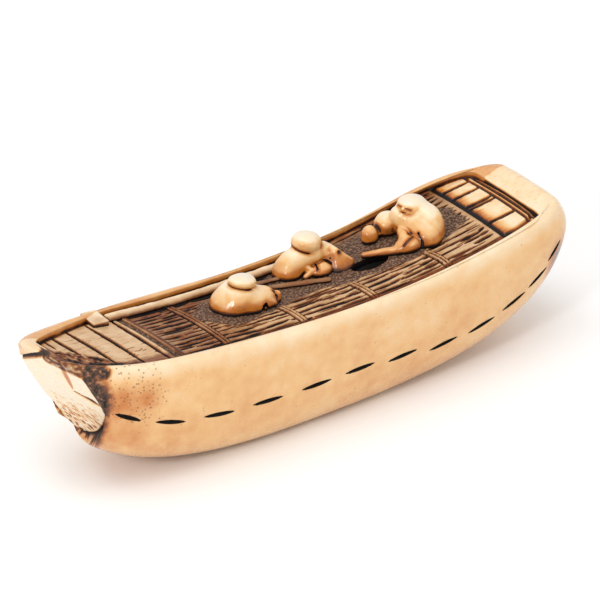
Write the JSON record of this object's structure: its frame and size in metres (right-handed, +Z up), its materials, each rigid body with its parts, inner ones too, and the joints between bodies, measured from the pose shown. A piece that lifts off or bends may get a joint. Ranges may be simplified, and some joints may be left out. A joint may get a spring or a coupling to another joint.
{
  "type": "netsuke",
  "caption": "Carved ivory-coloured netsuke shaped as a long flat-bottomed river boat with crouching passengers, straw mats on deck, a cut bow face and a cord hole.",
  "frame": {"origin": "middle of the boat's outline seen from above, at the level of the flat it stands on", "axes": "+X from the bow towards the stern, +Y to starboard, +Z up"},
  "size_m": [0.0726, 0.0178, 0.0193],
  "materials": {
    "ivory": "polished and stained"
  },
  "bodies": {
    "root": {"netsuke": "ivory"}
  },
  "joints": []
}
